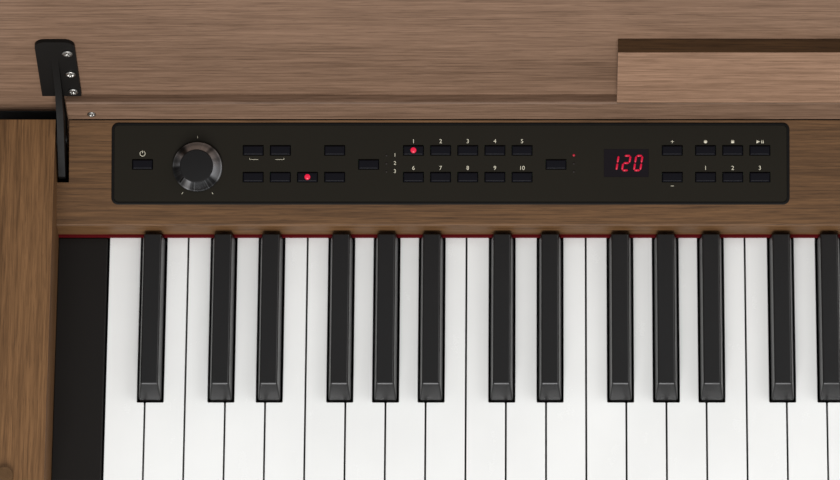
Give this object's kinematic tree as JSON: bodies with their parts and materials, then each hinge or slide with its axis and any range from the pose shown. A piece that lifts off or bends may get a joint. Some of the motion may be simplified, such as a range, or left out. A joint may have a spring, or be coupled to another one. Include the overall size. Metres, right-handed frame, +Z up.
{
  "type": "digital piano",
  "caption": "Slim home digital piano on its own wooden stand: weighted-length keys, sloped control panel, swing-up key lid with folding music rest, and foot pedals.",
  "frame": {"origin": "on the floor, under the middle of the piano's box with the lid open", "axes": "+X to the player's right along the keys, +Y from the player towards the wall, +Z up"},
  "size_m": [1.372, 0.2896, 0.9651],
  "materials": {
    "wood": "satin wood-grain laminate",
    "white_key": "gloss white",
    "black_key": "satin black",
    "black_plastic": "matt black",
    "red_felt": "felt",
    "black_steel": "semi-matt black",
    "steel": "plain",
    "brass": "polished",
    "rubber": "matt",
    "smoked_window": "smoked clear",
    "red_lamp": "clear red",
    "circuit_board": "solder mask"
  },
  "bodies": {
    "case": {"left_arm": "wood", "right_arm": "wood", "left_leg": "wood", "right_leg": "wood", "left_foot": "wood", "right_foot": "wood", "floor_pads": "rubber", "stand_back": "wood", "pedal_beam": "wood", "keybed": "wood", "key_slip": "wood", "rear_panel": "wood", "fallboard": "wood", "end_blocks": "black_plastic", "felt_strip": "red_felt", "key_frame": "black_plastic", "control_panel": "black_plastic", "display_window": "smoked_window", "panel_lamps": "red_lamp", "panel_board": "circuit_board", "lid_pivots": "steel", "lid_bumpers": "rubber", "speaker_boxes": "black_plastic", "speaker_drivers": "black_plastic", "speaker_grilles": "black_steel", "jack_box": "black_plastic", "power_inlet": "black_plastic", "main_board": "circuit_board"},
    "keys_a": {"keys_a": "white_key"},
    "keys_b": {"keys_b": "white_key"},
    "keys_c": {"keys_c": "white_key"},
    "keys_d": {"keys_d": "white_key"},
    "keys_e": {"keys_e": "white_key"},
    "keys_f": {"keys_f": "white_key"},
    "keys_g": {"keys_g": "white_key"},
    "keys_a_sharp": {"keys_a_sharp": "black_key"},
    "keys_c_sharp": {"keys_c_sharp": "black_key"},
    "keys_d_sharp": {"keys_d_sharp": "black_key"},
    "keys_f_sharp": {"keys_f_sharp": "black_key"},
    "keys_g_sharp": {"keys_g_sharp": "black_key"},
    "power_button": {"power_button": "black_plastic"},
    "mode_buttons": {"mode_buttons": "black_plastic"},
    "effect_buttons": {"effect_buttons": "black_plastic"},
    "bank_button": {"bank_button": "black_plastic"},
    "tone_buttons_upper": {"tone_buttons_upper": "black_plastic"},
    "tone_buttons_lower": {"tone_buttons_lower": "black_plastic"},
    "display_button": {"display_button": "black_plastic"},
    "value_up_button": {"value_up_button": "black_plastic"},
    "value_down_button": {"value_down_button": "black_plastic"},
    "transport_buttons": {"transport_buttons": "black_plastic"},
    "part_buttons": {"part_buttons": "black_plastic"},
    "volume_knob": {"volume_knob": "black_plastic"},
    "soft_pedal": {"soft_pedal": "brass"},
    "middle_pedal": {"middle_pedal": "brass"},
    "damper_pedal": {"damper_pedal": "brass"},
    "lid": {"lid": "wood", "lid_strip": "wood", "lid_brackets": "black_steel", "rest_ears": "black_steel"},
    "music_rest": {"music_rest": "wood"}
  },
  "joints": [
    {"name": "keys_a_press", "type": "hinge", "parent": "case", "child": "keys_a", "pos_m": [0, 0.06449, 0.7117], "axis": [1, 0, 0], "range_deg": [0, 3], "stiffness_Nm_per_rad": 2.5, "springref_deg": -28.65},
    {"name": "keys_b_press", "type": "hinge", "parent": "case", "child": "keys_b", "pos_m": [0, 0.06449, 0.7117], "axis": [1, 0, 0], "range_deg": [0, 3], "stiffness_Nm_per_rad": 2.5, "springref_deg": -28.65},
    {"name": "keys_c_press", "type": "hinge", "parent": "case", "child": "keys_c", "pos_m": [0, 0.06449, 0.7117], "axis": [1, 0, 0], "range_deg": [0, 3], "stiffness_Nm_per_rad": 2.5, "springref_deg": -28.65},
    {"name": "keys_d_press", "type": "hinge", "parent": "case", "child": "keys_d", "pos_m": [0, 0.06449, 0.7117], "axis": [1, 0, 0], "range_deg": [0, 3], "stiffness_Nm_per_rad": 2.5, "springref_deg": -28.65},
    {"name": "keys_e_press", "type": "hinge", "parent": "case", "child": "keys_e", "pos_m": [0, 0.06449, 0.7117], "axis": [1, 0, 0], "range_deg": [0, 3], "stiffness_Nm_per_rad": 2.5, "springref_deg": -28.65},
    {"name": "keys_f_press", "type": "hinge", "parent": "case", "child": "keys_f", "pos_m": [0, 0.06449, 0.7117], "axis": [1, 0, 0], "range_deg": [0, 3], "stiffness_Nm_per_rad": 2.5, "springref_deg": -28.65},
    {"name": "keys_g_press", "type": "hinge", "parent": "case", "child": "keys_g", "pos_m": [0, 0.06449, 0.7117], "axis": [1, 0, 0], "range_deg": [0, 3], "stiffness_Nm_per_rad": 2.5, "springref_deg": -28.65},
    {"name": "keys_a_sharp_press", "type": "hinge", "parent": "case", "child": "keys_a_sharp", "pos_m": [0, 0.06449, 0.7117], "axis": [1, 0, 0], "range_deg": [0, 3.4], "stiffness_Nm_per_rad": 1.6, "springref_deg": -28.65},
    {"name": "keys_c_sharp_press", "type": "hinge", "parent": "case", "child": "keys_c_sharp", "pos_m": [0, 0.06449, 0.7117], "axis": [1, 0, 0], "range_deg": [0, 3.4], "stiffness_Nm_per_rad": 1.6, "springref_deg": -28.65},
    {"name": "keys_d_sharp_press", "type": "hinge", "parent": "case", "child": "keys_d_sharp", "pos_m": [0, 0.06449, 0.7117], "axis": [1, 0, 0], "range_deg": [0, 3.4], "stiffness_Nm_per_rad": 1.6, "springref_deg": -28.65},
    {"name": "keys_f_sharp_press", "type": "hinge", "parent": "case", "child": "keys_f_sharp", "pos_m": [0, 0.06449, 0.7117], "axis": [1, 0, 0], "range_deg": [0, 3.4], "stiffness_Nm_per_rad": 1.6, "springref_deg": -28.65},
    {"name": "keys_g_sharp_press", "type": "hinge", "parent": "case", "child": "keys_g_sharp", "pos_m": [0, 0.06449, 0.7117], "axis": [1, 0, 0], "range_deg": [0, 3.4], "stiffness_Nm_per_rad": 1.6, "springref_deg": -28.65},
    {"name": "power_button_press", "type": "slide", "parent": "case", "child": "power_button", "axis": [0, 0.2706, -0.9627], "range_m": [0, 0.0008], "stiffness_N_per_m": 400, "springref_m": -0.002},
    {"name": "mode_buttons_press", "type": "slide", "parent": "case", "child": "mode_buttons", "axis": [0, 0.2706, -0.9627], "range_m": [0, 0.0008], "stiffness_N_per_m": 400, "springref_m": -0.002},
    {"name": "effect_buttons_press", "type": "slide", "parent": "case", "child": "effect_buttons", "axis": [0, 0.2706, -0.9627], "range_m": [0, 0.0008], "stiffness_N_per_m": 400, "springref_m": -0.002},
    {"name": "bank_button_press", "type": "slide", "parent": "case", "child": "bank_button", "axis": [0, 0.2706, -0.9627], "range_m": [0, 0.0008], "stiffness_N_per_m": 400, "springref_m": -0.002},
    {"name": "tone_buttons_upper_press", "type": "slide", "parent": "case", "child": "tone_buttons_upper", "axis": [0, 0.2706, -0.9627], "range_m": [0, 0.0008], "stiffness_N_per_m": 400, "springref_m": -0.002},
    {"name": "tone_buttons_lower_press", "type": "slide", "parent": "case", "child": "tone_buttons_lower", "axis": [0, 0.2706, -0.9627], "range_m": [0, 0.0008], "stiffness_N_per_m": 400, "springref_m": -0.002},
    {"name": "display_button_press", "type": "slide", "parent": "case", "child": "display_button", "axis": [0, 0.2706, -0.9627], "range_m": [0, 0.0008], "stiffness_N_per_m": 400, "springref_m": -0.002},
    {"name": "value_up_button_press", "type": "slide", "parent": "case", "child": "value_up_button", "axis": [0, 0.2706, -0.9627], "range_m": [0, 0.0008], "stiffness_N_per_m": 400, "springref_m": -0.002},
    {"name": "value_down_button_press", "type": "slide", "parent": "case", "child": "value_down_button", "axis": [0, 0.2706, -0.9627], "range_m": [0, 0.0008], "stiffness_N_per_m": 400, "springref_m": -0.002},
    {"name": "transport_buttons_press", "type": "slide", "parent": "case", "child": "transport_buttons", "axis": [0, 0.2706, -0.9627], "range_m": [0, 0.0008], "stiffness_N_per_m": 400, "springref_m": -0.002},
    {"name": "part_buttons_press", "type": "slide", "parent": "case", "child": "part_buttons", "axis": [0, 0.2706, -0.9627], "range_m": [0, 0.0008], "stiffness_N_per_m": 400, "springref_m": -0.002},
    {"name": "volume_turn", "type": "hinge", "parent": "case", "child": "volume_knob", "pos_m": [-0.5578, 0.05764, 0.74894], "axis": [0, -0.2706, 0.9627], "range_deg": [-150, 150]},
    {"name": "soft_pedal_press", "type": "hinge", "parent": "case", "child": "soft_pedal", "pos_m": [-0.062, 0.08949, 0.075], "axis": [1, 0, 0], "range_deg": [0, 8], "stiffness_Nm_per_rad": 8, "springref_deg": -8.59},
    {"name": "middle_pedal_press", "type": "hinge", "parent": "case", "child": "middle_pedal", "pos_m": [0, 0.08949, 0.075], "axis": [1, 0, 0], "range_deg": [0, 8], "stiffness_Nm_per_rad": 8, "springref_deg": -8.59},
    {"name": "damper_pedal_press", "type": "hinge", "parent": "case", "child": "damper_pedal", "pos_m": [0.062, 0.08949, 0.075], "axis": [1, 0, 0], "range_deg": [0, 8], "stiffness_Nm_per_rad": 8, "springref_deg": -8.59},
    {"name": "lid_swing", "type": "hinge", "parent": "case", "child": "lid", "pos_m": [0, 0.07449, 0.7521], "axis": [-1, 0, 0], "range_deg": [-100, 0]},
    {"name": "music_rest_fold", "type": "hinge", "parent": "lid", "child": "music_rest", "pos_m": [0, 0.09059, 0.78064], "axis": [1, 0, 0], "range_deg": [0, 90]}
  ]
}
